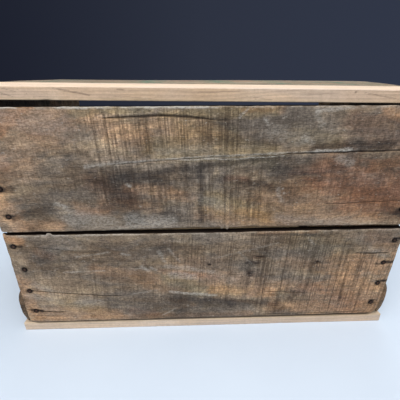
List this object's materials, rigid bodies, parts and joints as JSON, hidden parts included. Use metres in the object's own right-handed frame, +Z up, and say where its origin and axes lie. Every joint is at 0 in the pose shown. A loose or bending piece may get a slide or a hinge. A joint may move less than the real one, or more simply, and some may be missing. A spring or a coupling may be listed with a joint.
{
  "type": "wooden apple crate",
  "caption": "Open nailed softwood field box for apples, lying on a long side, with two weathered bottom boards, boarded sides and ends, and corner cleats.",
  "frame": {"origin": "under the middle of the crate, on the surface that its low long side lies on", "axes": "+Z up, +X along the length, -Y outward through the bottom boards, +Y out of the open top of the crate"},
  "size_m": [0.495, 0.26, 0.3125],
  "materials": {
    "bottom_wood": "rough-sawn weathered softwood, grey-brown, dry and cracked",
    "pale_side_wood": "planed pale pine, dry, matt",
    "aged_side_wood": "aged pine, greyed, with traces of faded green print",
    "end_wood": "rough-sawn aged pine, matt",
    "cleat_wood": "dark weathered softwood, matt",
    "nail_steel": "rusted dark steel, matt"
  },
  "bodies": {
    "root": {"bottom_board_low": "bottom_wood", "bottom_board_high": "bottom_wood", "low_side_narrow_board": "pale_side_wood", "high_side_narrow_board": "pale_side_wood", "low_side_wide_board": "aged_side_wood", "high_side_wide_board": "aged_side_wood", "left_end_floor_board": "end_wood", "left_end_rim_board": "end_wood", "right_end_floor_board": "end_wood", "right_end_rim_board": "end_wood", "left_low_cleat": "cleat_wood", "left_high_cleat": "cleat_wood", "right_low_cleat": "cleat_wood", "right_high_cleat": "cleat_wood", "bottom_nails_low_left": "nail_steel", "bottom_nails_low_right": "nail_steel", "bottom_nails_high_left": "nail_steel", "bottom_nails_high_right": "nail_steel", "side_nails_low_left": "nail_steel", "side_nails_low_right": "nail_steel", "side_nails_high_left": "nail_steel", "side_nails_high_right": "nail_steel", "cleat_nails_left_low": "nail_steel", "cleat_nails_left_high": "nail_steel", "cleat_nails_right_low": "nail_steel", "cleat_nails_right_high": "nail_steel"}
  },
  "joints": []
}
